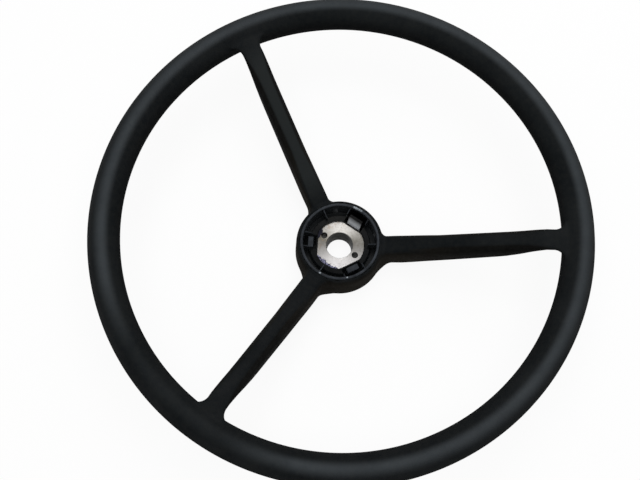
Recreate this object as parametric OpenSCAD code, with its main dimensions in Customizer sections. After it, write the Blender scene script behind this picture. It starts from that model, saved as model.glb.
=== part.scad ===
// Three-spoke dished steering wheel: one black moulding around a bored steel hub boss.
// Millimetres. Origin at the centre of the hub's bottom face, +Z up the steering shaft,
// one spoke along +X. The wheel is shown without its centre cap and shaft nut.

/* [Rim] */
// Outside diameter of the rim
rim_d = 400; // [340:1:460]
// Thickness of the round grip
grip_d = 25.4; // [20:0.1:30]
// Height of the rim's centre plane above the hub's bottom face
dish = 74; // [66:1:80]

/* [Hub body] */
// Thickness of the hub's wall at the bottom face, outside the cup
wall_base = 6.5; // [5:0.1:9]
// Width of the hub's shoulder, outside the bead
shoulder_w = 1.5; // [0.8:0.1:2.5]
// Height of the bead around the cup, above the bottom face
hub_h = 34; // [33:0.5:40]
// Rounding of the hub's shoulder
shoulder_r = 9; // [4:0.5:10]
// Rounding of the edge round the bottom face
base_edge_r = 1.5; // [0.5:0.1:2.5]

/* [Cap cup] */
// Width of the trough between the collar and the cup wall
trough_w = 5.3; // [4.5:0.1:8]
// Thickness of the bead on the cup's edge
bead_d = 2; // [1:0.1:2.4]
// Thickness of the collar round the boss
collar_t = 4.7; // [3.5:0.1:6]
// Height of the collar above the boss's face
collar_rise = 2.4; // [1:0.1:4]
// Height of the floor between the collar and the cup wall
trough_z = 16; // [12:0.5:18]
// Thickness of the radial ribs
rib_t = 1.2; // [0.8:0.1:2]
// Height of the ribs above the collar, at their inner ends
rib_rise = 5; // [3:0.5:7]
// Depth of the ribs' outer ends below the bead
rib_drop = 2; // [1:0.5:4]

/* [Cap clips] */
// Width of each clip well
well_w = 16.5; // [15:0.5:19]
// Height of the well's floor
well_z = 8; // [5:0.5:12]
// Wall left between the boss's flat and the well
lip_t = 1.2; // [0.8:0.1:1.6]
// Height of that wall above the boss's face
lip_rise = 0.6; // [0.2:0.1:1.5]
// Gap between that wall and the clip
clip_gap = 2.2; // [1.5:0.1:3]
// Width of each clip
clip_w = 10; // [8:0.5:13]
// Thickness of each clip
clip_t = 3.8; // [3:0.1:4]
// How far the clip's nose stands out towards the cup wall
clip_nose = 0.9; // [0.5:0.1:1.5]
// Height of the nose, with its slope below
clip_nose_h = 4; // [3:0.1:6]
// Height of the clip's top above the boss's face
clip_rise = 7.4; // [5:0.2:9]

/* [Hub boss] */
// Height of the boss
boss_h = 20.6; // [18:0.1:23]
// Diameter of the shaft bore
bore_d = 21; // [18:0.1:22]
// Length of the parallel part of the bore
bore_len = 10; // [8:0.5:14]
// Growth of the bore's diameter over its taper above that
bore_flare = 1.4; // [0.6:0.1:2]
// Core diameter of the two puller holes
puller_d = 5; // [4:0.1:6]
// Steel left between the bore's mouth and a puller hole
puller_land = 1.8; // [1.2:0.1:3]
// Steel left between a puller hole and the outside of the boss
puller_edge = 3; // [2.8:0.1:4]
// Angle of the puller holes from the first spoke
puller_angle = -30; // [-34:1:-26]
// Depth of each flat, from the boss's round outside
flat_deep = 2.4; // [1:0.1:2.6]
// Width of the retaining groove turned round the boss
groove_w = 4; // [2:0.5:6]
// Depth of the retaining groove, in the round parts
groove_deep = 2; // [0.8:0.1:2.2]

/* [Spokes] */
// Number of spokes
spoke_n = 3; // [3:1:4]
// Width of a spoke at the hub
spoke_w_hub = 16.8; // [14:0.1:19]
// Width of a spoke at the rim
spoke_w_rim = 14.7; // [12:0.1:17]
// Drop of the spoke's top below the bead, at the cup wall
spoke_top_drop = 4; // [2:0.5:8]
// Depth of a spoke where it meets the rim
spoke_rim_depth = 9.6; // [8:0.1:14]
// Drop of the spoke's top below the crown of the rim
crown_drop = 1.6; // [1:0.1:4]
// Length over which the spoke's top lies level, before the rim
level_run = 13.4; // [8:0.2:30]
// Softness of the bend where the top levels off
top_bend = 3; // [2:0.5:8]
// Rise of the spoke's underside above the bottom face, at the hub
spoke_toe_rise = 0.8; // [0.4:0.1:3]
// How far the underside sags below a straight line between its ends
arch = 6.4; // [0:0.1:12]
// Softness of the bend where the underside levels off
toe_bend = 3; // [2:0.5:8]
// Squareness of the spoke's section, where 2 is an ellipse
squareness = 5; // [2.5:0.1:7]
// Fillet between a spoke and the hub, at the bottom
hub_fillet_low = 12; // [5:0.5:14]
// Fillet between a spoke and the hub, at the top
hub_fillet_high = 2.5; // [1:0.5:4]
// Fillet between a spoke and the rim
rim_fillet = 6; // [3:0.5:9]

/* [Hidden] */
$fn = 96;
eps = 0.01;
grip_r = grip_d / 2;
rim_r = rim_d / 2 - grip_r;
bore_r = bore_d / 2;
bore_top_r = bore_r + bore_flare / 2;
puller_r = bore_top_r + puller_land + puller_d / 2;
boss_r = puller_r + puller_d / 2 + puller_edge;
flat_r = boss_r - flat_deep;
bead_r = bead_d / 2;
collar_r = boss_r + collar_t;
collar_z = boss_h + collar_rise;
cup_r = collar_r + trough_w;
hub_base_r = cup_r + wall_base;
hub_top_r = cup_r + bead_d + shoulder_w;
spoke_turn = 360 / spoke_n;
lip_r = flat_r + lip_t;
clip_r = lip_r + clip_gap;
clip_top_z = boss_h + clip_rise;
clip_angles = [for (i = [0:spoke_n - 1]) (i + 0.5) * spoke_turn];
spoke_angles = [for (i = [0:spoke_n - 1]) i * spoke_turn];
rib_top_in = collar_z + rib_rise;
rib_top_out = hub_h - rib_drop;

// The spoke runs between these two radii, inside the hub's wall and inside the grip
sink = 0.3;
spoke_start = hub_top_r - shoulder_w;
spoke_end = rim_r - grip_r * sink;
hub_touch = hub_base_r;
rim_touch = rim_r - grip_r;
top_limit = dish + grip_r - crown_drop;
top_start = hub_h - spoke_top_drop;
toe_limit = top_limit - spoke_rim_depth;

// Lean of the hub's wall, as a share of the way from its base to its shoulder
wall_lean = 0.3;
shoulder_turn = 80;

// Draft of the trough's sides, depth of the ribs' roots and wall left behind a well
draft = 0.3;
rib_root = 1;
wall_left = 0.5;

// Numbers of points and steps in the curves
section_points = 24;
grip_points = 48;
hole_points = 32;
edge_steps = 3;
shoulder_steps = 6;
bead_steps = 8;
hub_steps = 5;
blade_steps = 7;

// Smaller of two values, with the corner between them rounded over a span k
function soft_min(a, b, k) = (a + b - sqrt((a - b) * (a - b) + k * k)) / 2;

// Share of the way along the spoke, 0 at the hub and 1 at the rim
function along(x) = min(max((x - hub_touch) / (rim_touch - hub_touch), 0), 1);
function mix(a, b, t) = a + (b - a) * t;

// The top rises in a straight line and levels off below the crown of the rim
function spoke_top(x) =
    let (rise = (top_limit - top_start) / (rim_touch - level_run - cup_r))
    soft_min(top_start + (x - cup_r) * rise, top_limit, top_bend);

// The underside is an arch between the hub's toe and the rim
function spoke_toe(x) =
    let (t = along(x))
    soft_min(mix(spoke_toe_rise, toe_limit, t) - 4 * arch * t * (1 - t), toe_limit, toe_bend);

// The hub's and the grip's surfaces at a height z, as distances from the axis
function hub_wall(z) = mix(hub_base_r, hub_top_r, wall_lean * min(z / hub_h, 1));
function grip_wall(z) = rim_r - sqrt(max(0, grip_r * grip_r - (z - dish) * (z - dish)));

// Extra half width of a fillet of radius f, at a distance d past the fillet's start
function flare(f, d) = d <= 0 ? 0 : f - sqrt(f * f - d * d);

// Fillet between a round wall of radius w and the flank of a spoke of half width a
function hub_flare(x, a, f, w) =
    let (start = sqrt(pow(w + f, 2) - pow(a + f, 2)), end = start * w / (w + f))
    flare(f, start - max(x, end));
function rim_flare(x, a, f, w) =
    let (start = sqrt(pow(w - f, 2) - pow(a + f, 2)), end = start * w / (w - f))
    flare(f, min(x, end) - start);

// Half width of the spoke at x and height z, where v is -1 on the underside and 1 on the top
function spoke_half(x, z, v) =
    let (a = mix(spoke_w_hub, spoke_w_rim, along(x)) / 2)
    a + hub_flare(x, a, mix(hub_fillet_low, hub_fillet_high, (v + 1) / 2), hub_wall(z))
    + rim_flare(x, a, rim_fillet, grip_wall(z));

// One rounded section of the spoke, as points in space
function power(c) = sign(c) * pow(abs(c), 2 / squareness);
function spoke_section(x) =
    let (top = spoke_top(x), toe = spoke_toe(x), mid = (top + toe) / 2, half = (top - toe) / 2)
    [for (i = [0:section_points - 1])
        let (a = i * 360 / section_points, v = power(sin(a)), z = mid + half * v)
        [x, spoke_half(x, z, v) * power(cos(a)), z]];

// The sections stand close together in the fillets and far apart between them
hub_side = hub_touch + hub_fillet_low;
rim_side = rim_touch - rim_fillet * 1.3;
hub_stations = [for (i = [0:hub_steps]) mix(spoke_start, hub_side, i / hub_steps)];
mid_stations = [for (i = [1:blade_steps]) mix(hub_side, rim_side, i / blade_steps)];
rim_stations = [for (i = [1:blade_steps]) mix(rim_side, spoke_end, i / blade_steps)];
stations = concat(hub_stations, mid_stations, rim_stations);

module spoke() {
    rings = [for (x = stations) spoke_section(x)];
    points = [for (ring = rings) for (p = ring) p];
    n = section_points;
    last = (len(stations) - 1) * n;
    sides = [for (s = [0:len(stations) - 2]) for (i = [0:n - 1])
        let (j = (i + 1) % n, a = s * n, b = a + n)
        each [[a + i, b + j, a + j], [a + i, b + i, b + j]]];
    start_cap = [for (i = [1:n - 2]) [0, i, i + 1]];
    end_cap = [for (i = [1:n - 2]) [last, last + i + 1, last + i]];
    polyhedron(points, concat(sides, start_cap, end_cap));
}

// Half section of the hub body, with the cup turned out of it
module hub_profile() {
    shoulder_z = hub_h - bead_r - shoulder_r;
    wall_r = mix(hub_base_r, hub_top_r, wall_lean);
    base_arc = [for (i = [0:edge_steps]) let (a = -90 + i * 90 / edge_steps)
        [hub_base_r - base_edge_r + base_edge_r * cos(a), base_edge_r + base_edge_r * sin(a)]];
    shoulder_arc = [for (i = [0:shoulder_steps]) let (a = i * shoulder_turn / shoulder_steps)
        [mix(hub_top_r - shoulder_w, wall_r, cos(a)), shoulder_z + shoulder_r * sin(a)]];
    bead_arc = [for (i = [0:bead_steps]) let (a = i * 180 / bead_steps)
        [cup_r + bead_r + bead_r * cos(a), hub_h - bead_r + bead_r * sin(a)]];
    polygon(concat(
        [[0, 0]],
        base_arc,
        shoulder_arc,
        bead_arc,
        [[cup_r - draft, trough_z], [collar_r + draft, trough_z], [collar_r, collar_z]],
        [[0, collar_z]]
    ));
}

// Outline of the boss: a circle with one flat towards each clip
module boss_outline() {
    corner = flat_r / cos(spoke_turn / 2);
    intersection() {
        circle(r = boss_r);
        polygon([for (a = spoke_angles) [corner * cos(a), corner * sin(a)]]);
    }
}

// Solid of the boss before its holes, which is also the space it takes in the moulding
module boss_body() {
    difference() {
        linear_extrude(boss_h) boss_outline();
        translate([0, 0, (boss_h - groove_w) / 2]) linear_extrude(groove_w) difference() {
            circle(r = boss_r + groove_deep);
            circle(r = boss_r - groove_deep);
        }
    }
}

// Window in the collar through which the boss's face shows
module face_window() {
    translate([0, 0, boss_h - eps]) linear_extrude(collar_rise + 1) boss_outline();
}

// One well, cut from the collar to the cup wall, and the step down to its lip
module well() {
    intersection() {
        union() {
            translate([lip_r, -well_w / 2, well_z]) cube([cup_r, well_w, hub_h]);
            translate([flat_r - eps, -well_w / 2, boss_h + lip_rise]) cube([cup_r, well_w, hub_h]);
        }
        cylinder(r = cup_r - wall_left, h = hub_h * 2);
    }
}

// Snap clip for the centre cap: an upright tongue with a nose at its top
module clip() {
    back = clip_r + clip_t;
    lead = clip_nose / 2;
    rotate([90, 0, 0]) translate([0, 0, -clip_w / 2]) linear_extrude(clip_w)
        polygon([
            [clip_r, well_z - eps],
            [back, well_z - eps],
            [back, clip_top_z - clip_nose_h],
            [back + clip_nose, clip_top_z - clip_nose_h + clip_nose],
            [back + clip_nose, clip_top_z - lead],
            [back + clip_nose - lead, clip_top_z],
            [clip_r, clip_top_z]
        ]);
}

// Upright rib between two radii, with a top that slopes from the collar to the cup wall
module rib(inner, outer) {
    rotate([90, 0, 0]) translate([0, 0, -rib_t / 2]) linear_extrude(rib_t)
        polygon([
            [inner, trough_z - rib_root],
            [outer, trough_z - rib_root],
            [outer, rib_top_out],
            [inner, rib_top_in]
        ]);
}

// The two ribs that stand along the sides of a well
module well_ribs() {
    side_y = (well_w + rib_t) / 2;
    reach = sqrt(cup_r * cup_r - side_y * side_y);
    for (side = [-1, 1]) translate([0, side * side_y, 0]) rib(clip_r, reach + rib_root / 2);
}

module moulded_wheel() {
    color([0.10, 0.11, 0.12]) difference() {
        union() {
            translate([0, 0, dish]) rotate_extrude() translate([rim_r, 0]) circle(r = grip_r, $fn = grip_points);
            rotate_extrude() hub_profile();
            for (a = spoke_angles) rotate(a) {
                spoke();
                rib(collar_r - rib_root, cup_r + rib_root / 2);
            }
            for (a = clip_angles) rotate(a) {
                well_ribs();
                clip();
            }
        }
        boss_body();
        face_window();
        for (a = clip_angles) rotate(a) difference() {
            well();
            clip();
        }
    }
}

module hub_boss() {
    taper_len = boss_h - bore_len;
    color([0.72, 0.70, 0.66]) difference() {
        boss_body();
        translate([0, 0, -1]) cylinder(r = bore_r, h = bore_len + 1);
        translate([0, 0, bore_len - eps]) cylinder(r1 = bore_r, r2 = bore_top_r, h = taper_len + 2 * eps);
        for (turn = [0, 180]) rotate(puller_angle + turn) translate([puller_r, 0, -1])
            cylinder(d = puller_d, h = boss_h + 2, $fn = hole_points);
    }
}

moulded_wheel();
hub_boss();
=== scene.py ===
import math

import bpy
import mathutils
import numpy as np
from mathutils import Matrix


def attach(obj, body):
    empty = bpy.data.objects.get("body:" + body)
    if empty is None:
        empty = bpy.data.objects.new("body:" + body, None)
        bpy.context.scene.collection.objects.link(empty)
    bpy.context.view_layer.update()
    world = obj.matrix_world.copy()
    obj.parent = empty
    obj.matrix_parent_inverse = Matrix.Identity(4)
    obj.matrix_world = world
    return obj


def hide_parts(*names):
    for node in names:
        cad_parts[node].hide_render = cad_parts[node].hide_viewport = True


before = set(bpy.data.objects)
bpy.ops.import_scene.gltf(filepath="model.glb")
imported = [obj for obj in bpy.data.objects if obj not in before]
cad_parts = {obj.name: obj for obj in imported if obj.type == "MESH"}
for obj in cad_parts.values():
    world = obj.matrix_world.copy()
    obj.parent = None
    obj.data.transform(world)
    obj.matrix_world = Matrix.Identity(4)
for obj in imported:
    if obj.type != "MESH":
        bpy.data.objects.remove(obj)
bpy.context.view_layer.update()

# The shapes' lengths are in millimetres, as on the part's drawing, and become metres through MM.
# The materials, the stage and the camera are in metres throughout.
MM = 0.001
BODY = "root"

# Rim
DISH = 74.0
GRIP_R = 12.7
RIM_R = 200.0 - GRIP_R
RIM_TOUCH = RIM_R - GRIP_R

# Hub
HUB_H = 34.0
BASE_R = 37.5
TOP_R = 34.5
BASE_EDGE = 1.5
WALL_TAPER = 0.3
SHOULDER = 9.0
SHOULDER_EXTRA = 0.2
SHOULDER_IN = 1.0
SHOULDER_END_DEG = 76
BRIM_IN = 0.75
BRIM_EDGE_R = 0.6
BRIM_EDGE_Z = 0.55
PLATE_H = 4.0

# Cup, a piece of its own that fills the hub's opening up to the ledge under its bead
CUP_R = 31.0
CUP_WALL = 0.8
CUP_SINK = 0.4
CUP_DRAFT = 0.4
CUP_DRAFT_TOP = 3.0
INSERT_R = 33.3
BEAD = 1.0
BEAD_HALF_W = 1.25
BEAD_OUT = 0.9
LEDGE_Z = HUB_H - BEAD - 0.8
TROUGH_Z = 16.0
TROUGH_EDGE = 0.8
COLLAR_R = 25.7
COLLAR_Z = 23.0
COLLAR_EDGE = 0.5
COLLAR_DRAFT = 0.2

# Ribs, wells and clips of the cup
RIB_HALF = 0.5
RIB_EDGE = 0.25
RIB_REACH = 0.6
RIB_OUT_Z = 32.4
RIB_FOOT_Z = 7.0
# Each rib's angle, its place across that direction, and its inner end's radius and height
RIBS = (
    (0.0, 0.0, 23.3, 29.5),
    (120.0, 0.0, 23.3, 29.5),
    (240.0, 0.0, 23.3, 29.5),
    (60.0, 8.7, 24.0, 29.5),
    (60.0, -8.8, 25.4, 27.0),
    (180.0, -7.1, 22.6, 27.0),
    (180.0, 5.3, 24.4, 29.8),
    (300.0, 8.8, 23.4, 27.5),
    (300.0, -8.8, 24.0, 25.0),
)
# Each well's angle, and its ends across that direction
WELLS = ((60.0, -8.25, 8.25), (180.0, -6.7, 4.9), (300.0, -8.25, 8.25))
WELL_Z = 8.0
WELL_OUT = 0.5
WELL_EDGE = 0.25
LIP = 1.2
LIP_RISE = 0.6
# Each clip's angle, half its length, and its place across that direction
CLIPS = ((60.0, 6.3, 0.0), (180.0, 4.5, 0.5), (300.0, 5.2, 0.0))
CLIP_ANGLES = (60.0, 180.0, 300.0)
CLIP_GAP = 2.2
CLIP_T = 3.8
CLIP_TOP = 28.0
CLIP_FOOT_Z = WELL_Z - 0.6
CLIP_NOSE = 0.9
CLIP_NOSE_H = 4.0
CLIP_EDGE = 0.3
BRIGHT_CLIP = 60.0
# The bright clip's inner face leans: its distance out at its foot and top, and the foot's height
LEAN_FOOT = 20.0
LEAN_TOP = 24.0
LEAN_FOOT_Z = 13.0
# Fillet of the ribs and clips where they stand on the cup
STAND_FILLET = 0.3

# Glints painted on the bead: where, and how far each is full and reaches
PAINTED_GLINTS = (
    ((10.3, 30.2), (0.0, 1.3)),
    ((11.7, 29.7), (0.0, 1.5)),
    ((13.1, 29.1), (-0.4, 1.3)),
    ((14.6, 28.4), (-0.4, 1.3)),
    ((16.2, 27.5), (-0.6, 1.3)),
    ((-14.6, -28.3), (0.0, 1.2)),
    ((8.0, -30.6), (0.0, 1.0)),
)

# Boss
BOSS_R = 21.0
BOSS_H = 20.6
BOSS_FOOT_Z = 0.05
BOSS_EDGE = 0.3
FLAT_R = 18.6
BORE_R = 10.5
BORE_LEN = 10.0
BORE_TOP_R = 11.2
HOLE_EDGE = 0.35
GROOVE_W = 4.0
GROOVE_DEEP = 2.0
PULLER_R = 2.5
PULLER_PCD = 31.0
PULLER_ANGLES = (-30.0, 150.0)

# Plastic flash over the boss's edge: its inner reach round the wheel, and how ragged it is there
FLASH_AZIMUTHS = (0.0, 133.0, 137.0, 146.0, 153.0, 160.0, 166.0, 174.0, 200.0,
                  208.0, 218.0, 230.0, 239.0, 250.0, 260.0, 268.0, 276.0, 360.0)
FLASH_INNER_R = (22.5, 22.5, 20.6, 18.0, 17.6, 18.0, 19.2, 22.5, 22.5,
                 20.6, 18.9, 17.8, 18.3, 18.9, 19.2, 19.6, 22.5, 22.5)
FLASH_WOBBLE = (0.0, 0.0, 0.6, 1.0, 1.0, 1.0, 0.5, 0.0, 0.0,
                0.6, 1.0, 1.0, 1.0, 1.0, 0.8, 0.5, 0.0, 0.0)
# Waves of the ragged edge: size, rate and start; and the ripple of the flash's top
FLASH_WAVES = ((0.35, 0.37, 1.0), (0.25, 0.83, 0.0), (0.15, 1.9, 0.0))
FLASH_RIPPLE = 0.15
FLASH_RIPPLE_RATES = (2.3, 1.9)
FLASH_T = 0.45
FLASH_OUT = 0.6
FLASH_DEEP = 1.0
FLASH_TOP_EDGE = 0.3
FLASH_SIDE_EDGE = 0.25
FLASH_END_X = 4.0

# Spokes
SPOKE_ANGLES = (0.0, 120.0, 240.0)
SPOKE_START = CUP_R + 2.0
SPOKE_END = RIM_R - GRIP_R * 0.3
SPOKE_W_HUB = 17.5
SPOKE_W_RIM = 16.5
SPOKE_MIN_HALF_H = 2.0
SPOKE_TOP_START = HUB_H - 4.0
SPOKE_TOP_LIMIT = DISH + GRIP_R - 3.4
SPOKE_TOP_RISE = 0.4232
SPOKE_BEND = 3.0
# Underside: its heights along the spoke
SPOKE_TOE_X = (37.5, 54.0, 63.0, 72.0, 90.0, 117.0, 135.0, 144.0, 153.0, 162.0, 171.0, 184.0)
SPOKE_TOE_Z = (0.8, 4.3, 8.6, 13.8, 23.0, 37.8, 47.8, 55.6, 66.4, 75.4, 77.4, 77.4)
# Section: how square it is in its upper and lower halves, along the spoke
HIGH_SQUARENESS_X = (45.0, 80.0)
HIGH_SQUARENESS = (5.0, 2.8)
LOW_SQUARENESS_X = (128.0, 162.0)
LOW_SQUARENESS = (5.0, 2.5)
# The flare of its sides where it meets the rim
SPOKE_FLARE = 9.0
SPOKE_FLARE_START = 166.8
SPOKE_FLARE_RUN = 0.95 * SPOKE_FLARE
# For its distance: its top's slope, and bounds that keep the sum tame near the section's middle
SPOKE_LEAN = 0.35
SECTION_CORE = 0.25
SECTION_MIN_SLOPE = 0.02

# Joints of the shell: fillets at the hub from bottom to top, and at the rim from RIM_FILLET_Z up
HUB_FILLET_LOW = 11.0
HUB_FILLET_HIGH = 2.5
RIM_FILLET_LOW = 3.2
RIM_FILLET_HIGH = 1.6
RIM_FILLET_Z = 74.0
RIM_FILLET_RISE = 8.0
CUT_EDGE = 0.3
# Radii that bound where the hub's outline, the rim joint, the opening and the hole are worked out
HUB_REACH = 75.0
RIM_JOINT_FROM = 110.0
OPENING_REACH = 60.0
HOLE_REACH = 30.0
# Gaps round the boss, which keep the pieces' faces apart
SHELL_GAP = 0.05
CUP_GAP = 0.04

# Grid steps of the meshes, full and quick, and the room that a grid has round its piece
SHELL_STEPS = (1.3, 2.4)
CUP_STEPS = (0.5, 0.9)
BOSS_STEPS = (0.4, 0.7)
FLASH_STEPS = (0.22, 0.4)
ROOM = 0.5
CUP_ROOM = 1.0
FLASH_ROOM_SIDE = 1.2
FLASH_ROOM_LOW = 1.3
FLASH_ROOM_HIGH = 0.9
# A grid is shifted by this share of its step, so that its planes miss the solids' level faces
GRID_SHIFT = 0.137
SLAB_POINTS = 400000
SETTLING_ROUNDS = 3
SETTLING_REACH = 0.5
MIN_SLOPE_SQUARED = 0.2
SLOPE_REACH = 0.03
TINY = 1e-9


def mix(a, b, t):
    """The value that lies a share t of the way from a to b."""
    return a + (b - a) * t


def soft_min(a, b, span):
    """The smaller of two values, with a smooth bend where they are near each other."""
    return (a + b - np.sqrt((a - b) ** 2 + span ** 2)) / 2


def join(a, b, fillet):
    """Union of two solids given as distances, with a round fillet between them."""
    near_a = np.maximum(fillet - a, 0)
    near_b = np.maximum(fillet - b, 0)
    return np.maximum(fillet, np.minimum(a, b)) - np.hypot(near_a, near_b)


def meet(a, b, edge):
    """Intersection of two solids given as distances, with a round edge between them."""
    near_a = np.maximum(edge + a, 0)
    near_b = np.maximum(edge + b, 0)
    return np.minimum(-edge, np.maximum(a, b)) + np.hypot(near_a, near_b)


def profile_distance(r, z, corners):
    """Signed distance in a plane to a closed outline, below 0 inside it."""
    best = np.full(r.shape, np.inf)
    inside = np.zeros(r.shape, bool)
    for (r0, z0), (r1, z1) in zip(corners, corners[1:] + corners[:1]):
        er, ez = r1 - r0, z1 - z0
        share = np.clip(((r - r0) * er + (z - z0) * ez) / (er * er + ez * ez), 0, 1)
        best = np.minimum(best, (r - r0 - share * er) ** 2 + (z - z0 - share * ez) ** 2)
        if ez != 0:
            crosses = (z0 > z) != (z1 > z)
            inside ^= crosses & (r < r0 + (z - z0) * er / ez)
    return np.where(inside, -1, 1) * np.sqrt(best)


def arc(cr, cz, radius_r, radius_z, start, stop, steps):
    """Points along a stretch of an ellipse, angles in degrees."""
    turns = [math.radians(mix(start, stop, i / steps)) for i in range(steps + 1)]
    return [(cr + radius_r * math.cos(t), cz + radius_z * math.sin(t)) for t in turns]


def turned(points, angle):
    """Coordinates along and across a direction in the wheel's plane."""
    c, s = math.cos(math.radians(angle)), math.sin(math.radians(angle))
    return points[:, 0] * c + points[:, 1] * s, points[:, 1] * c - points[:, 0] * s


def spoke_distance(points, angle):
    """One spoke: a blade of rounded box section that rises from the hub to the rim."""
    x, y = turned(points, angle)
    z = points[:, 2]
    share = np.clip((x - BASE_R) / (RIM_TOUCH - BASE_R), 0, 1)
    top = soft_min(SPOKE_TOP_START + (x - CUP_R) * SPOKE_TOP_RISE, SPOKE_TOP_LIMIT, SPOKE_BEND)
    toe = np.interp(x, SPOKE_TOE_X, SPOKE_TOE_Z)
    flare_run = np.clip(x - SPOKE_FLARE_START, 0, SPOKE_FLARE_RUN)
    flare = SPOKE_FLARE - np.sqrt(SPOKE_FLARE ** 2 - flare_run ** 2)
    half_w = mix(SPOKE_W_HUB, SPOKE_W_RIM, share) / 2 + flare
    half_h = np.maximum((top - toe) / 2, SPOKE_MIN_HALF_H)
    v = (z - (top + toe) / 2) / half_h
    u = y / half_w
    low_square = np.interp(x, LOW_SQUARENESS_X, LOW_SQUARENESS)
    high_square = np.interp(x, HIGH_SQUARENESS_X, HIGH_SQUARENESS)
    square = np.where(v < 0, low_square, high_square)
    power_u = np.abs(u) ** (square - 1)
    power_v = np.abs(v) ** (square - 1)
    total = (power_u * np.abs(u) + power_v * np.abs(v)) ** (1 / square)
    total = np.maximum(total, SECTION_CORE)
    scale = total ** (1 - square)
    slope_across = power_u * scale / half_w
    slope_up = power_v * scale / half_h * math.hypot(1, SPOKE_LEAN)
    side = (total - 1) / np.maximum(np.hypot(slope_across, slope_up), SECTION_MIN_SLOPE)
    return np.maximum(np.maximum(side, SPOKE_START - x), x - SPOKE_END)


def hub_wall_corners():
    """Outline of the hub outside the cup: base plate, wall, shoulder and the ledge inside it."""
    wall_r = mix(BASE_R, TOP_R, WALL_TAPER)
    shoulder_z = HUB_H - BEAD - SHOULDER
    corners = [(0, 0)]
    corners += arc(BASE_R - BASE_EDGE, BASE_EDGE, BASE_EDGE, BASE_EDGE, -90, 0, 4)
    corners += arc(TOP_R - SHOULDER_IN, shoulder_z, wall_r - TOP_R + SHOULDER_IN,
                   SHOULDER + SHOULDER_EXTRA, 0, SHOULDER_END_DEG, 8)
    corners += arc(TOP_R - BRIM_IN, shoulder_z + SHOULDER - BRIM_IN, BRIM_EDGE_R, BRIM_EDGE_Z,
                   60, 150, 4)
    corners += [(INSERT_R, LEDGE_Z), (CUP_R + CUP_WALL, LEDGE_Z), (CUP_R + CUP_WALL, PLATE_H)]
    return corners + [(0, PLATE_H)]


def boss_outline(points, margin=0.0):
    """Distance in plan to the boss's outline: a circle with a flat towards each clip."""
    r = np.hypot(points[:, 0], points[:, 1])
    outline = r - BOSS_R - margin
    for angle in CLIP_ANGLES:
        outline = np.maximum(outline, turned(points, angle)[0] - FLAT_R - margin)
    return outline


def shell_distance(points):
    """Rim, spokes, hub wall and hub floor in one."""
    r = np.hypot(points[:, 0], points[:, 1])
    z = points[:, 2]
    rim = np.hypot(r - RIM_R, z - DISH) - GRIP_R
    near = r < HUB_REACH
    hub = np.maximum(r - BASE_R, z - HUB_H)
    hub[near] = profile_distance(r[near], z[near], hub_wall_corners())
    spokes = spoke_distance(points, SPOKE_ANGLES[0])
    for angle in SPOKE_ANGLES[1:]:
        spokes = np.minimum(spokes, spoke_distance(points, angle))
    hub_fillet = mix(HUB_FILLET_LOW, HUB_FILLET_HIGH, np.clip(z / HUB_H, 0, 1))
    rim_share = np.clip((z - RIM_FILLET_Z) / RIM_FILLET_RISE, 0, 1)
    rim_fillet = mix(RIM_FILLET_LOW, RIM_FILLET_HIGH, rim_share)
    inner = join(hub, spokes, hub_fillet)
    outer = join(rim, spokes, rim_fillet)
    wheel = np.where(r > RIM_JOINT_FROM, outer, inner)
    opening = np.maximum(r - CUP_R - CUP_WALL, PLATE_H - z)
    wheel = np.where(r < OPENING_REACH, meet(wheel, -opening, CUT_EDGE), wheel)
    hole = boss_outline(points, SHELL_GAP)
    wheel = np.where(r < HOLE_REACH, meet(wheel, -hole, CUT_EDGE), wheel)
    return np.maximum(wheel, -z)


def cup_corners():
    """Outline of the cup: its plate, wall, bead, trough and collar."""
    floor_z = PLATE_H - CUP_SINK
    trough_edge_z = TROUGH_Z + TROUGH_EDGE
    trough_out = CUP_R - CUP_DRAFT - TROUGH_EDGE
    trough_in = COLLAR_R + COLLAR_DRAFT + TROUGH_EDGE
    corners = [(0, floor_z), (INSERT_R, floor_z), (INSERT_R, LEDGE_Z)]
    corners += arc(CUP_R + BEAD_OUT, HUB_H - BEAD, BEAD_HALF_W, BEAD, -10, 180, 12)
    corners += [(CUP_R, HUB_H - CUP_DRAFT_TOP)]
    corners += arc(trough_out, trough_edge_z, TROUGH_EDGE, TROUGH_EDGE, 0, -90, 4)
    corners += arc(trough_in, trough_edge_z, TROUGH_EDGE, TROUGH_EDGE, -90, -180, 4)
    corners += arc(COLLAR_R - COLLAR_EDGE, COLLAR_Z - COLLAR_EDGE, COLLAR_EDGE, COLLAR_EDGE,
                   0, 90, 4)
    return corners + [(0, COLLAR_Z)]


def rib_distance(u, v, z, in_r, in_z):
    """Thin upright wall across the trough, whose top slopes from its inner end to its outer one."""
    out_r = CUP_R + RIB_REACH
    lean = (RIB_OUT_Z - in_z) / (out_r - in_r)
    above = (z - in_z - (u - in_r) * lean) / math.hypot(1, lean)
    wall = meet(np.abs(v) - RIB_HALF, above, RIB_EDGE)
    ends = np.maximum(in_r - u, u - out_r)
    return np.maximum(meet(wall, ends, RIB_EDGE), RIB_FOOT_Z - z)


def clip_distance(u, v, z, half, leans):
    """Snap clip for the cap: an upright tongue with a nose."""
    inner = FLAT_R + LIP + CLIP_GAP
    outer = inner + CLIP_T
    nose_z = CLIP_TOP - CLIP_NOSE_H
    if leans:
        face = [(LEAN_TOP, CLIP_TOP), (LEAN_FOOT, LEAN_FOOT_Z), (LEAN_FOOT, CLIP_FOOT_Z)]
    else:
        face = [(inner, CLIP_TOP), (inner, CLIP_FOOT_Z)]
    corners = face + [
        (outer, CLIP_FOOT_Z),
        (outer, nose_z),
        (outer + CLIP_NOSE, nose_z + CLIP_NOSE),
        (outer + CLIP_NOSE, CLIP_TOP - CLIP_NOSE / 2),
        (outer + CLIP_NOSE / 2, CLIP_TOP),
    ]
    return meet(profile_distance(u, z, corners), np.abs(v) - half, CLIP_EDGE)


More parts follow.
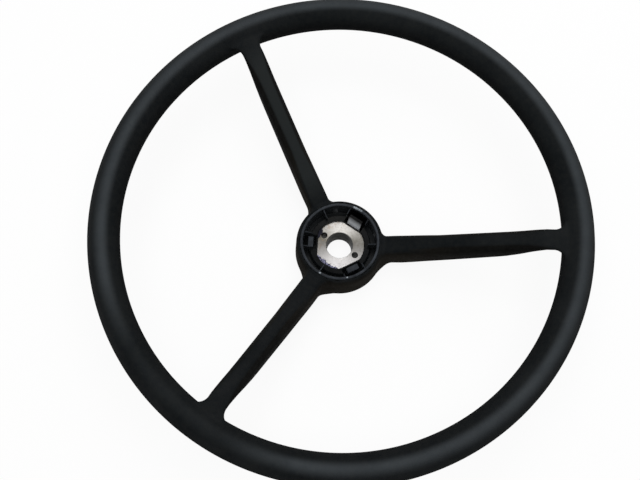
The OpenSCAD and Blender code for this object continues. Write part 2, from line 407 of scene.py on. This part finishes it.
def cup_distance(points):
    """The cap cup with its wells, ribs and clips."""
    r = np.hypot(points[:, 0], points[:, 1])
    z = points[:, 2]
    cup = profile_distance(r, z, cup_corners())
    cup = meet(cup, -boss_outline(points, CUP_GAP), WELL_EDGE)
    for angle, first, last in WELLS:
        u, v = turned(points, angle)
        sides = np.maximum(np.maximum(first - v, v - last), r - CUP_R + WELL_OUT)
        well = np.maximum(np.maximum(FLAT_R + LIP - u, WELL_Z - z), sides)
        step = np.maximum(np.maximum(FLAT_R - u, BOSS_H + LIP_RISE - z), sides)
        cup = meet(cup, -np.minimum(well, step), WELL_EDGE)
    for angle, across, in_r, in_z in RIBS:
        u, v = turned(points, angle)
        rib = rib_distance(u, v - across, z, in_r, in_z)
        cup = join(cup, np.maximum(rib, r - CUP_R - BEAD_OUT), STAND_FILLET)
    for angle, half, across in CLIPS:
        u, v = turned(points, angle)
        clip = clip_distance(u, v - across, z, half, angle == BRIGHT_CLIP)
        cup = join(cup, clip, STAND_FILLET)
    return np.maximum(cup, r - INSERT_R)


def flash_distance(points):
    """Thin plastic that crept over the steel's edge while it was moulded in."""
    x, y, z = points[:, 0], points[:, 1], points[:, 2]
    r = np.hypot(x, y)
    azimuth = np.degrees(np.arctan2(y, x)) % 360
    wobble = sum(size * np.sin(azimuth * rate + start) for size, rate, start in FLASH_WAVES)
    reach = np.interp(azimuth, FLASH_AZIMUTHS, FLASH_INNER_R)
    inner = reach + wobble * np.interp(azimuth, FLASH_AZIMUTHS, FLASH_WOBBLE) - r
    outer = boss_outline(points, FLASH_OUT)
    rate_x, rate_y = FLASH_RIPPLE_RATES
    top = z - BOSS_H - FLASH_T - FLASH_RIPPLE * np.sin(x * rate_x) * np.sin(y * rate_y)
    sides = np.maximum(outer, BOSS_H - FLASH_DEEP - z)
    return meet(meet(top, inner, FLASH_TOP_EDGE), sides, FLASH_SIDE_EDGE)


def boss_distance(points):
    """The steel boss with its rounded edges, groove, bore and puller holes."""
    r = np.hypot(points[:, 0], points[:, 1])
    z = points[:, 2]
    blank = meet(boss_outline(points), np.maximum(z - BOSS_H, BOSS_FOOT_Z - z), BOSS_EDGE)
    middle = np.abs(z - BOSS_H / 2) - GROOVE_W / 2
    blank = np.maximum(blank, -np.maximum(middle, BOSS_R - GROOVE_DEEP - r))
    taper = (BORE_TOP_R - BORE_R) / (BOSS_H - BORE_LEN)
    bore_r = BORE_R + np.maximum(z - BORE_LEN, 0) * taper
    blank = meet(blank, bore_r - r, HOLE_EDGE)
    for angle in PULLER_ANGLES:
        u, v = turned(points, angle)
        hole = np.hypot(u - PULLER_PCD / 2, v) - PULLER_R
        blank = meet(blank, -hole, HOLE_EDGE)
    return blank


def field_on_grid(distance, axes):
    """Distances at the points of a grid, worked out slab by slab."""
    counts = [len(a) for a in axes]
    field = np.empty(counts, np.float32)
    slab = max(1, int(SLAB_POINTS / (counts[1] * counts[2])))
    for start in range(0, counts[0], slab):
        part = axes[0][start:start + slab]
        grid = np.stack(np.meshgrid(part, axes[1], axes[2], indexing="ij"), axis=-1)
        field[start:start + slab] = distance(grid.reshape(-1, 3)).reshape(grid.shape[:3])
    return field


def slope_of(distance, points):
    """Direction in which the distance grows, by differences."""
    slope = np.empty_like(points)
    for axis in range(3):
        step = np.zeros(3)
        step[axis] = SLOPE_REACH
        rise = distance(points + step) - distance(points - step)
        slope[:, axis] = rise / (2 * SLOPE_REACH)
    return slope


def net_points(field, active, offsets, corner):
    """One point in each cell that the surface crosses: the middle of the crossings of its edges."""
    cells = np.argwhere(active)
    total = np.zeros((len(cells), 3))
    hits = np.zeros(len(cells))
    for start in offsets:
        for axis in range(3):
            if start[axis]:
                continue
            stop = tuple(o + (1 if n == axis else 0) for n, o in enumerate(start))
            a = corner(field, start)[active].astype(float)
            b = corner(field, stop)[active].astype(float)
            crosses = (a < 0) != (b < 0)
            share = np.where(crosses, a / np.where(crosses, a - b, 1), 0)
            place = np.array(start, float) + share[:, None] * np.eye(3)[axis]
            total += place * crosses[:, None]
            hits += crosses
    return cells + total / hits[:, None]


def net_quads(solid, number):
    """A quad round each grid edge that the surface crosses, facing out of the solid."""
    quads = []
    for axis in range(3):
        b, c = (axis + 1) % 3, (axis + 2) % 3
        view = np.transpose(solid, (axis, b, c))
        cell = np.transpose(number, (axis, b, c))
        at = np.argwhere(view[1:, 1:-1, 1:-1] != view[:-1, 1:-1, 1:-1])
        i, j, k = at[:, 0], at[:, 1] + 1, at[:, 2] + 1
        around = [cell[i, j - 1, k - 1], cell[i, j, k - 1], cell[i, j, k], cell[i, j - 1, k]]
        ring = np.stack(around, 1)
        inward = ~view[i, j, k]
        ring[inward] = ring[inward][:, ::-1]
        quads.append(ring)
    return np.concatenate(quads)


def surface_net(distance, low, high, step):
    """Smooth mesh of a solid given as a distance: points, quads and normals."""
    shift = GRID_SHIFT * step
    ends = [(start - step, stop + 2 * step) for start, stop in zip(low, high)]
    axes = [np.arange(first, last, step) + shift for first, last in ends]
    field = field_on_grid(distance, axes)
    solid = field < 0
    shape = [n - 1 for n in field.shape]
    offsets = [(i, j, k) for i in (0, 1) for j in (0, 1) for k in (0, 1)]

    def corner(values, offset):
        return values[tuple(slice(o, o + n) for o, n in zip(offset, shape))]

    count = sum(corner(solid, o).astype(np.int8) for o in offsets)
    active = (count > 0) & (count < len(offsets))
    number = np.full(shape, -1, np.int64)
    number[active] = np.arange(np.count_nonzero(active))
    origin = np.array([a[0] for a in axes])
    points = origin + net_points(field, active, offsets, corner) * step
    quads = net_quads(solid, number)

    for _ in range(SETTLING_ROUNDS):
        slope = slope_of(distance, points)
        size = np.maximum((slope ** 2).sum(1), MIN_SLOPE_SQUARED)
        move = (distance(points) / size)[:, None] * slope
        reach = np.maximum(np.linalg.norm(move, axis=1), TINY)
        points -= move * np.minimum(1, SETTLING_REACH * step / reach)[:, None]
    normals = slope_of(distance, points)
    normals /= np.maximum(np.linalg.norm(normals, axis=1), TINY)[:, None]
    return points, quads, normals


def add_piece(name, net, material):
    """A piece of the wheel as a smooth mesh, riding on the wheel's body."""
    points, quads, normals = net
    mesh = bpy.data.meshes.new(name)
    mesh.from_pydata((points * MM).tolist(), [], quads.tolist())
    mesh.shade_smooth()
    mesh.normals_split_custom_set_from_vertices(normals.tolist())
    mesh.materials.append(material)
    piece = bpy.data.objects.new(name, mesh)
    bpy.context.scene.collection.objects.link(piece)
    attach(piece, BODY)
    return piece


def put(tree, socket, value):
    """Gives a socket another node's output or a plain value."""
    if isinstance(value, bpy.types.NodeSocket):
        tree.links.new(value, socket)
    else:
        socket.default_value = value


def add_node(tree, kind, inputs=None, **settings):
    """A shader node with its settings, its inputs given as values or as other nodes' outputs."""
    made = tree.nodes.new("ShaderNode" + kind)
    for name, value in settings.items():
        setattr(made, name, value)
    for name, value in (inputs or {}).items():
        put(tree, made.inputs[name], value)
    return made


def new_material(name):
    """A material with a Principled shader: the material, its node tree and the shader."""
    material = bpy.data.materials.new(name)
    material.use_nodes = True
    tree = material.node_tree
    tree.nodes.clear()
    shader = add_node(tree, "BsdfPrincipled")
    output = add_node(tree, "OutputMaterial")
    tree.links.new(shader.outputs[0], output.inputs[0])
    return material, tree, shader


def noise(tree, place, scale, detail=3.0, roughness=0.5):
    """Noise from 0 to 1, with its features about 1 / scale metres apart."""
    inputs = {"Vector": place, "Scale": scale, "Detail": detail, "Roughness": roughness}
    return add_node(tree, "TexNoise", inputs).outputs[0]


def spread(tree, value, low, high, to_low=0.0, to_high=1.0, kind="LINEAR"):
    """Maps low..high to to_low..to_high, level outside that."""
    ends = {"From Min": low, "From Max": high, "To Min": to_low, "To Max": to_high}
    return add_node(tree, "MapRange", {"Value": value, **ends}, interpolation_type=kind).outputs[0]


def fall(tree, value, low, high, kind="LINEAR"):
    """1 up to low and 0 from high on."""
    return spread(tree, value, low, high, 1.0, 0.0, kind)


def math_node(tree, operation, a, b=0.0):
    """A sum of one or two values; b is 0 for those that take one."""
    made = add_node(tree, "Math", operation=operation)
    for socket, value in zip(made.inputs, (a, b)):
        put(tree, socket, value)
    return made.outputs[0]


def product(tree, first, *others):
    """Values multiplied one after another."""
    for value in others:
        first = math_node(tree, "MULTIPLY", first, value)
    return first


def blend_colour(tree, share, a, b):
    """Colour a where the share is 0 and b where it is 1."""
    made = add_node(tree, "Mix", data_type="RGBA")
    put(tree, made.inputs[0], share)
    for socket, colour in ((made.inputs[6], a), (made.inputs[7], b)):
        put(tree, socket, (*colour, 1) if isinstance(colour, tuple) else colour)
    return made.outputs[2]


def bump(tree, height, strength, distance, normal=None):
    """The surface's direction, bent by a height, over an earlier bend if one is given."""
    inputs = {"Height": height, "Strength": strength, "Distance": distance}
    if normal is not None:
        inputs["Normal"] = normal
    return add_node(tree, "Bump", inputs).outputs[0]


def place_of(tree):
    """Position on the object, its distance from the shaft's axis and its x, y and z, in metres."""
    place = add_node(tree, "TexCoord").outputs["Object"]
    xyz = add_node(tree, "SeparateXYZ", {"Vector": place}).outputs
    squares = [product(tree, xyz[n], xyz[n]) for n in (0, 1)]
    r = math_node(tree, "SQRT", math_node(tree, "ADD", *squares))
    return place, r, xyz


def normal_of(tree):
    """The surface's direction, and its upward part: 1 where it faces up, 0 where it is upright."""
    normal = add_node(tree, "NewGeometry").outputs["Normal"]
    return normal, add_node(tree, "SeparateXYZ", {"Vector": normal}).outputs[2]


def dot(tree, vector, way):
    """A vector's reach along a direction; the vector may be given as its x and y."""
    if isinstance(vector, tuple):
        vector = add_node(tree, "CombineXYZ", {"X": vector[0], "Y": vector[1]}).outputs[0]
    made = add_node(tree, "VectorMath", operation="DOT_PRODUCT")
    put(tree, made.inputs[0], vector)
    put(tree, made.inputs[1], way)
    return made.outputs["Value"]


def along(tree, place, angle):
    """Distance along a direction in the wheel's plane."""
    way = math.radians(angle)
    return dot(tree, place, (math.cos(way), math.sin(way), 0))


def aside_of_clip(tree, place):
    """Distance to either side of the bright clip's middle."""
    return math_node(tree, "ABSOLUTE", along(tree, place, BRIGHT_CLIP + 90.0))


def clip_reflection_share(tree, place, z, normal):
    """1 on the bright clip's inner face, where a reflection is painted, fading to 0 at its top."""
    faces_in = (0.7, 0.85)
    foot, top = (0.0190, 0.0194), (0.0244, 0.0248)
    half, half_left = (0.0052, 0.0062), 0.25
    fade_z, fade_left = (0.0195, 0.0278), 0.03
    turn = math.radians(BRIGHT_CLIP)
    inward = dot(tree, normal, (-math.cos(turn), -math.sin(turn), 0))
    inward = spread(tree, inward, *faces_in)
    out = along(tree, place, BRIGHT_CLIP)
    near = product(tree, spread(tree, out, *foot), fall(tree, out, *top))
    aside = spread(tree, aside_of_clip(tree, place), *half, 1.0, half_left)
    fade = spread(tree, z, *fade_z, 1.0, fade_left)
    return product(tree, near, aside, inward, fade)


def spot_share(tree, place, centre, reach):
    """1 at a place in the wheel's plane, fading to 0 at a distance from it; both in millimetres."""
    flat = add_node(tree, "VectorMath", operation="MULTIPLY")
    put(tree, flat.inputs[0], place)
    put(tree, flat.inputs[1], (1, 1, 0))
    away = add_node(tree, "VectorMath", operation="DISTANCE")
    put(tree, away.inputs[0], flat.outputs[0])
    put(tree, away.inputs[1], (centre[0] * MM, centre[1] * MM, 0))
    return fall(tree, away.outputs["Value"], reach[0] * MM, reach[1] * MM)


def spots_share(tree, place, spots):
    """The greatest share of several spots."""
    total = 0.0
    for centre, reach in spots:
        total = math_node(tree, "MAXIMUM", spot_share(tree, place, centre, reach), total)
    return total


def drilled_share(tree, place):
    """1 inside the two puller holes and 0 outside them."""
    edge = 0.3
    spots = []
    for angle in PULLER_ANGLES:
        turn = math.radians(angle)
        centre = (PULLER_PCD / 2 * math.cos(turn), PULLER_PCD / 2 * math.sin(turn))
        spots.append((centre, (PULLER_R, PULLER_R + edge)))
    return spots_share(tree, place, spots)


def safe_radius(tree, r):
    """The distance from the axis, kept above 0 so that it can be divided by."""
    least = 0.002
    return math_node(tree, "MAXIMUM", r, least)


def crown_highlight_share(tree, r, xyz):
    """Painted highlight on the rim: a band along its crown, a little outside it at right and
    behind, dimmer at the front left.
    """
    shift_right, shift_far, shift_all = 0.0016, 0.0018, 0.0008
    band_in, band_out = (-0.0062, 0.0), (0.0005, 0.0095)
    highlight_dim_way, highlight_dim_reach, highlight_dim_left = (-0.64, -0.77, 0.0), (0.84, 0.97), 0.12
    safe_r = safe_radius(tree, r)
    across = math_node(tree, "DIVIDE", xyz[0], safe_r)
    away = math_node(tree, "DIVIDE", xyz[1], safe_r)
    shift = math_node(
        tree, "ADD", product(tree, across, shift_right), product(tree, away, shift_far))
    shift = math_node(tree, "ADD", shift, RIM_R * MM + shift_all)
    band = math_node(tree, "SUBTRACT", r, shift)
    rising = spread(tree, band, *band_in, kind="SMOOTHSTEP")
    falling = fall(tree, band, *band_out, kind="SMOOTHSTEP")
    highlight_dim = spread(tree, dot(tree, (across, away), highlight_dim_way), *highlight_dim_reach, 1.0, highlight_dim_left)
    return product(tree, rising, falling, highlight_dim)


def wheel_plastic():
    """Satin black moulding: blue-black on top, the hub's sides brownish, the spokes' narrow tops
    painted light and their sides painted dark as shade, a highlight painted along the rim's crown.
    """
    top_dark, top_light = (0.0038, 0.0048, 0.0056), (0.0072, 0.0084, 0.0092)
    hub_side_dark, hub_side_light = (0.0064, 0.0050, 0.0034), (0.0110, 0.0095, 0.0070)
    spoke_side = (0.0030, 0.0029, 0.0027)
    rim_side = (0.0046, 0.0050, 0.0054)
    pale = (0.017, 0.0195, 0.020)
    # colour of the highlight painted along the rim's crown
    crown = (0.042, 0.048, 0.053)
    mottle = (0.0160, 0.0165, 0.0150)
    dust = (0.030, 0.029, 0.026)
    # Radii between which each look sets in or ends, and how far up a spoke's level top faces
    hub_end, rim_start = (0.055, 0.075), (0.160, 0.170)
    spoke_side_from, rim_side_from = (0.055, 0.100), (0.158, 0.168)
    pale_from, pale_to = (0.036, 0.060), (0.150, 0.172)
    level = (0.74, 0.88)

    material, tree, shader = new_material("wheel_plastic")
    place, r, xyz = place_of(tree)
    facing = normal_of(tree)[1]

    # Painted light and shade: the light top of a spoke is narrow, and its sides are painted dark
    off_spoke = math_node(
        tree, "MAXIMUM", fall(tree, r, *hub_end), spread(tree, r, *rim_start))
    level_top = math_node(tree, "MAXIMUM", spread(tree, facing, *level), off_spoke)
    upward = math_node(tree, "MINIMUM", spread(tree, facing, 0.1, 0.75), level_top)
    patches = noise(tree, place, scale=26.0, detail=4.0)
    top = blend_colour(tree, spread(tree, patches, 0.35, 0.65), top_dark, top_light)
    side = blend_colour(tree, spread(tree, patches, 0.4, 0.6), hub_side_dark, hub_side_light)
    side = blend_colour(tree, spread(tree, r, *spoke_side_from), side, spoke_side)
    side = blend_colour(tree, spread(tree, r, *rim_side_from), side, rim_side)
    colour = blend_colour(tree, upward, side, top)

    # The upper left spoke's level top is painted paler: a painted highlight
    out = spread(tree, along(tree, place, SPOKE_ANGLES[1]), *pale_from)
    share = product(tree, out, fall(tree, r, *pale_to), spread(tree, facing, *level, 0.0, 0.8))
    colour = blend_colour(tree, share, colour, pale)

    # Painted highlight along the rim's crown, in blotches
    fine = noise(tree, place, scale=260.0, detail=3.0, roughness=0.6)
    coarse = noise(tree, place, scale=45.0, detail=5.0, roughness=0.65)
    blotches = product(
        tree, spread(tree, coarse, 0.3, 0.7, 0.75, 1.0), spread(tree, fine, 0.3, 0.7, 0.8, 1.1))
    share = product(tree, crown_highlight_share(tree, r, xyz), blotches, spread(tree, facing, 0.2, 0.7))
    colour = blend_colour(tree, share, colour, crown)

    # Fine mottling and dust
    colour = blend_colour(tree, spread(tree, fine, 0.35, 0.65, 0.0, 0.22), colour, mottle)
    specks = noise(tree, place, scale=900.0, detail=2.0, roughness=0.7)
    colour = blend_colour(tree, spread(tree, specks, 0.66, 0.74, 0.0, 0.30), colour, dust)
    put(tree, shader.inputs["Base Color"], colour)

    smears = noise(tree, place, scale=60.0, detail=5.0, roughness=0.6)
    satin = spread(tree, smears, 0.3, 0.7, 0.40, 0.55)
    matt_side = spread(tree, facing, 0.3, 0.8, 0.45, 0.0)
    put(tree, shader.inputs["Roughness"], math_node(tree, "ADD", satin, matt_side))
    put(tree, shader.inputs["Specular IOR Level"], 0.03)
    waves = bump(tree, noise(tree, place, scale=120.0), strength=0.25, distance=0.0006)
    grain = noise(tree, place, scale=1400.0, detail=2.0, roughness=0.6)
    grain = bump(tree, grain, strength=0.35, distance=0.00012, normal=waves)
    put(tree, shader.inputs["Normal"], grain)
    return material


def cup_plastic():
    """The same moulding off the mould's polished core: glossier; lighter on the bead and clips by
    painted sheen, painted glints and a painted reflection.
    """
    flat_dark, flat_light = (0.0012, 0.0015, 0.0018), (0.0036, 0.0042, 0.0048)
    far_side = (0.0095, 0.0095, 0.0090)
    low_floor = (0.0125, 0.0140, 0.0150)
    upright = (0.0240, 0.0270, 0.0300)
    well_shade = (0.0022, 0.0022, 0.0024)
    bead = (0.037, 0.042, 0.050)
    dust = (0.035, 0.034, 0.030)
    glint = (0.36, 0.40, 0.43)
    mirrored = (0.92, 0.96, 1.0)
    # Places and heights between which each look sets in or ends
    far_from, low_floor_to = (0.008, 0.020), (0.017, 0.020)
    well_shade_from, well_shade_to, well_shade_half = (0.0195, 0.0205), (0.0285, 0.0295), (0.0080, 0.0086)
    sheen_from, glint_from = (0.0255, 0.0275), (0.0318, 0.0326)

    material, tree, shader = new_material("cup_plastic")
    place, _, xyz = place_of(tree)
    y, z = xyz[1], xyz[2]
    normal, facing = normal_of(tree)

    # Level faces are darkest near the viewer, and the trough's and wells' floors are painted
    # lighter: painted light that offsets their shade
    patches = noise(tree, place, scale=90.0, detail=4.0)
    flat = blend_colour(tree, spread(tree, patches, 0.4, 0.65), flat_dark, flat_light)
    flat = blend_colour(tree, spread(tree, y, *far_from, 0.0, 0.6), flat, far_side)
    flat = blend_colour(tree, fall(tree, z, *low_floor_to), flat, low_floor)
    # Upright faces are painted far lighter than level ones: painted light
    colour = blend_colour(tree, spread(tree, facing, 0.15, 0.6), upright, flat)

    # The well round the bright clip is painted black: painted shade
    well_shade_share = product(
        tree, spread(tree, along(tree, place, BRIGHT_CLIP), *well_shade_from),
        fall(tree, z, *well_shade_to), fall(tree, aside_of_clip(tree, place), *well_shade_half))
    colour = blend_colour(tree, well_shade_share, colour, well_shade)

    # The bead, the clips' tops and the ribs' tops are painted lighter in patches: a painted sheen
    sheen_patches = noise(tree, place, scale=110.0, detail=4.0, roughness=0.6)
    share = product(
        tree, spread(tree, facing, 0.3, 0.9), spread(tree, z, *sheen_from),
        fall(tree, well_shade_share, 0.0, 1.0), spread(tree, sheen_patches, 0.35, 0.65, 0.40, 1.0))
    colour = blend_colour(tree, share, colour, bead)

    specks = noise(tree, place, scale=1600.0, detail=2.0, roughness=0.7)
    colour = blend_colour(tree, spread(tree, specks, 0.64, 0.72, 0.0, 0.3), colour, dust)
    # Glints painted on the bead
    share = product(tree, spots_share(tree, place, PAINTED_GLINTS), spread(tree, z, *glint_from))
    colour = blend_colour(tree, share, colour, glint)
    # The bright clip's inner face is painted near white: a painted reflection
    colour = blend_colour(tree, clip_reflection_share(tree, place, z, normal), colour, mirrored)
    put(tree, shader.inputs["Base Color"], colour)

    smears = noise(tree, place, scale=200.0, detail=4.0, roughness=0.6)
    put(tree, shader.inputs["Roughness"], spread(tree, smears, 0.3, 0.7, 0.14, 0.30))
    put(tree, shader.inputs["Specular IOR Level"], 0.06)
    grain = noise(tree, place, scale=500.0, detail=2.0, roughness=0.6)
    put(tree, shader.inputs["Normal"], bump(tree, grain, strength=0.25, distance=0.0002))
    return material


def flash_plastic():
    """Thin torn film of plastic: dark where thick, lavender where the steel shows through it."""
    thick, thin = (0.012, 0.012, 0.020), (0.30, 0.30, 0.44)
    near_to = (-0.006, 0.004)

    material, tree, shader = new_material("flash_plastic")
    place, _, xyz = place_of(tree)
    mottle = noise(tree, place, scale=700.0, detail=4.0, roughness=0.65)
    lower = spread(tree, xyz[1], *near_to, 0.10, -0.22)
    share = spread(tree, math_node(tree, "ADD", mottle, lower), 0.54, 0.74)
    put(tree, shader.inputs["Base Color"], blend_colour(tree, share, thick, thin))
    put(tree, shader.inputs["Roughness"], spread(tree, mottle, 0.3, 0.7, 0.25, 0.5))
    put(tree, shader.inputs["Specular IOR Level"], 0.06)
    put(tree, shader.inputs["Normal"], bump(tree, mottle, strength=0.5, distance=0.0004))
    return material


def boss_steel():
    """Turned mild steel: its face painted light in front of the bore and behind it and darker at
    its sides, rusty at the upper left, its bore and holes painted dark as shade.
    """
    face_dark, face_light = (0.105, 0.098, 0.080), (0.55, 0.535, 0.51)
    near_face = (0.57, 0.56, 0.60)
    pit = (0.12, 0.10, 0.075)
    rust_brown = (0.26, 0.17, 0.10)
    bore_shade = (0.016, 0.016, 0.012)
    hole_shade = (0.006, 0.006, 0.004)
    near_to, near_most = (-0.018, 0.006), 0.4
    upper_left, rust_from = (-0.7, 0.7, 0.0), (0.004, 0.018)
    bore_to = (0.01105, 0.0115)
    turn_lines = {"Rotation": (0, 0, 0.9), "Scale": (400, 3500, 400)}

    material, tree, shader = new_material("boss_steel")
    place, r, xyz = place_of(tree)

    # Painted light: the face is painted lightest in front of the bore and behind it, and paler
    # nearest the front
    patches = noise(tree, place, scale=150.0, detail=5.0, roughness=0.6)
    ahead = math_node(tree, "DIVIDE", xyz[1], safe_radius(tree, r))
    lit = math_node(
        tree, "ADD", product(tree, ahead, ahead, 0.65), product(tree, patches, 0.7))
    face = blend_colour(tree, spread(tree, lit, 0.30, 0.95), face_dark, face_light)
    near = product(tree, fall(tree, xyz[1], *near_to), near_most)
    face = blend_colour(tree, near, face, near_face)

    pits = noise(tree, place, scale=900.0, detail=3.0, roughness=0.7)
    face = blend_colour(tree, spread(tree, pits, 0.58, 0.70, 0.0, 0.7), face, pit)
    rust = noise(tree, place, scale=420.0, detail=4.0, roughness=0.65)
    warm_side = spread(tree, dot(tree, place, upper_left), *rust_from)
    rust = product(tree, spread(tree, rust, 0.52, 0.66, 0.0, 0.55), warm_side)
    face = blend_colour(tree, rust, face, rust_brown)

    # The bore and the puller holes are painted near black and not metallic: painted shade
    inside = fall(tree, r, *bore_to)
    drilled = drilled_share(tree, place)
    colour = blend_colour(tree, inside, face, bore_shade)
    colour = blend_colour(tree, drilled, colour, hole_shade)
    put(tree, shader.inputs["Base Color"], colour)

    shaded_inside = math_node(tree, "MAXIMUM", inside, drilled)
    put(tree, shader.inputs["Metallic"], spread(tree, shaded_inside, 0.0, 1.0, 0.85, 0.0))
    put(tree, shader.inputs["Roughness"], spread(tree, patches, 0.3, 0.7, 0.36, 0.58))
    put(tree, shader.inputs["Specular IOR Level"], 0.03)
    stretched = add_node(tree, "Mapping", {"Vector": place, **turn_lines}).outputs[0]
    scratches = noise(tree, stretched, scale=1.0, detail=2.0, roughness=0.6)
    dents = bump(tree, patches, strength=0.3, distance=0.0004)
    scratches = bump(tree, scratches, strength=0.3, distance=0.00015, normal=dents)
    put(tree, shader.inputs["Normal"], scratches)
    return material


def seen_share(tree):
    """1 for the rays that see a surface straight, in a reflection or through glass."""
    path = add_node(tree, "LightPath").outputs
    seen = math_node(tree, "MAXIMUM", path["Is Camera Ray"], path["Is Glossy Ray"])
    return math_node(tree, "MAXIMUM", seen, path["Is Transmission Ray"])


def pale_surface(name):
    """Matt white for the floor: cameras and reflections see it near white, with its shadow kept."""
    glow_share = 0.9
    white = (0.92, 0.92, 0.92, 1)
    material = bpy.data.materials.new(name)
    material.use_nodes = True
    tree = material.node_tree
    tree.nodes.clear()
    cloth = add_node(tree, "BsdfDiffuse", {"Color": white})
    glow = add_node(tree, "Emission", {"Color": (1, 1, 1, 1), "Strength": 1.0})
    shown = add_node(tree, "MixShader", {"Fac": product(tree, seen_share(tree), glow_share)})
    tree.links.new(cloth.outputs[0], shown.inputs[1])
    tree.links.new(glow.outputs[0], shown.inputs[2])
    output = add_node(tree, "OutputMaterial")
    tree.links.new(shown.outputs[0], output.inputs[0])
    return material


def add_floor():
    """A wide pale floor, just below the hub's foot so that the two faces don't fight."""
    half = 20.0
    low = -0.0002
    corners = [(-half, -half, low), (half, -half, low), (half, half, low), (-half, half, low)]
    mesh = bpy.data.meshes.new("floor")
    mesh.from_pydata(corners, [], [(0, 1, 2, 3)])
    mesh.materials.append(pale_surface("pale_floor"))
    floor = bpy.data.objects.new("floor", mesh)
    bpy.context.scene.collection.objects.link(floor)


def add_world():
    """A soft grey room that the camera and reflections see as white."""
    lit_strength, seen_strength = 0.35, 1.0
    world = bpy.data.worlds.new("room")
    world.use_nodes = True
    tree = world.node_tree
    tree.nodes.clear()
    strength = spread(tree, seen_share(tree), 0.0, 1.0, lit_strength, seen_strength)
    sky = add_node(tree, "Background", {"Color": (1, 1, 1, 1), "Strength": strength})
    output = add_node(tree, "OutputWorld")
    tree.links.new(sky.outputs[0], output.inputs[0])
    bpy.context.scene.world = world


def add_lamp(name, place, size, power, aim=None, mirrored=True):
    """A square soft lamp that shines down or at a point, and may be kept out of reflections."""
    lamp = bpy.data.lights.new(name, "AREA")
    lamp.shape = "SQUARE"
    lamp.size = size
    lamp.energy = power
    holder = bpy.data.objects.new(name, lamp)
    holder.location = place
    if aim is not None:
        way = mathutils.Vector(aim) - mathutils.Vector(place)
        holder.rotation_euler = way.to_track_quat("-Z", "Y").to_euler()
    holder.visible_glossy = mirrored
    bpy.context.scene.collection.objects.link(holder)


def add_camera():
    """The photograph's view: above the wheel and a little in front of it."""
    lens_mm = 53.97
    sensor_mm = 36.0
    place = (-0.00598, -0.21766, 0.80119)
    tilt_deg = (15.825, -0.344, 4.0)
    view = bpy.data.cameras.new("camera")
    view.lens = lens_mm
    view.sensor_width = sensor_mm
    view.clip_start = 0.01
    holder = bpy.data.objects.new("camera", view)
    holder.location = place
    holder.rotation_euler = [math.radians(a) for a in tilt_deg]
    bpy.context.scene.collection.objects.link(holder)
    bpy.context.scene.camera = holder


def grid_step(steps):
    """The step of a mesh's grid, from its full and quick ones."""
    full, quick = steps
    return full


def build_wheel():
    """The rim with spokes and hub, and the cup inside the hub."""
    edge = RIM_R + GRIP_R + ROOM
    low, high = (-edge, -edge, -ROOM), (edge, edge, DISH + GRIP_R + ROOM)
    net = surface_net(shell_distance, low, high, grid_step(SHELL_STEPS))
    shell = add_piece("wheel_shell", net, wheel_plastic())
    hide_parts("moulded_wheel")

    edge = INSERT_R + ROOM
    low, high = (-edge, -edge, PLATE_H - CUP_ROOM), (edge, edge, HUB_H + ROOM)
    net = surface_net(cup_distance, low, high, grid_step(CUP_STEPS))
    cup = add_piece("hub_cup", net, cup_plastic())
    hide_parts("moulded_wheel")


def build_boss():
    """The steel boss in the hub."""
    edge = BOSS_R + ROOM
    low, high = (-edge, -edge, -ROOM), (edge, edge, BOSS_H + ROOM)
    net = surface_net(boss_distance, low, high, grid_step(BOSS_STEPS))
    boss = add_piece("boss", net, boss_steel())
    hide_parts("hub_boss")


def build_flash():
    """The plastic flash over the boss's edge, at its left side only."""
    edge = BOSS_R + FLASH_ROOM_SIDE
    low = (-edge, -edge, BOSS_H - FLASH_ROOM_LOW)
    high = (FLASH_END_X, edge, BOSS_H + FLASH_ROOM_HIGH)
    net = surface_net(flash_distance, low, high, grid_step(FLASH_STEPS))
    add_piece("moulding_flash", net, flash_plastic())


add_camera()
add_floor()
add_world()
add_lamp("overhead", (0.0, 0.0, 1.7), size=1.5, power=18.0, mirrored=False)
add_lamp("back", (0.14, 0.78, 1.2), size=0.9, power=5.0, aim=(0, 0, 0.05))
build_wheel()
build_boss()
build_flash()

bpy.context.scene.view_settings.view_transform = "Standard"
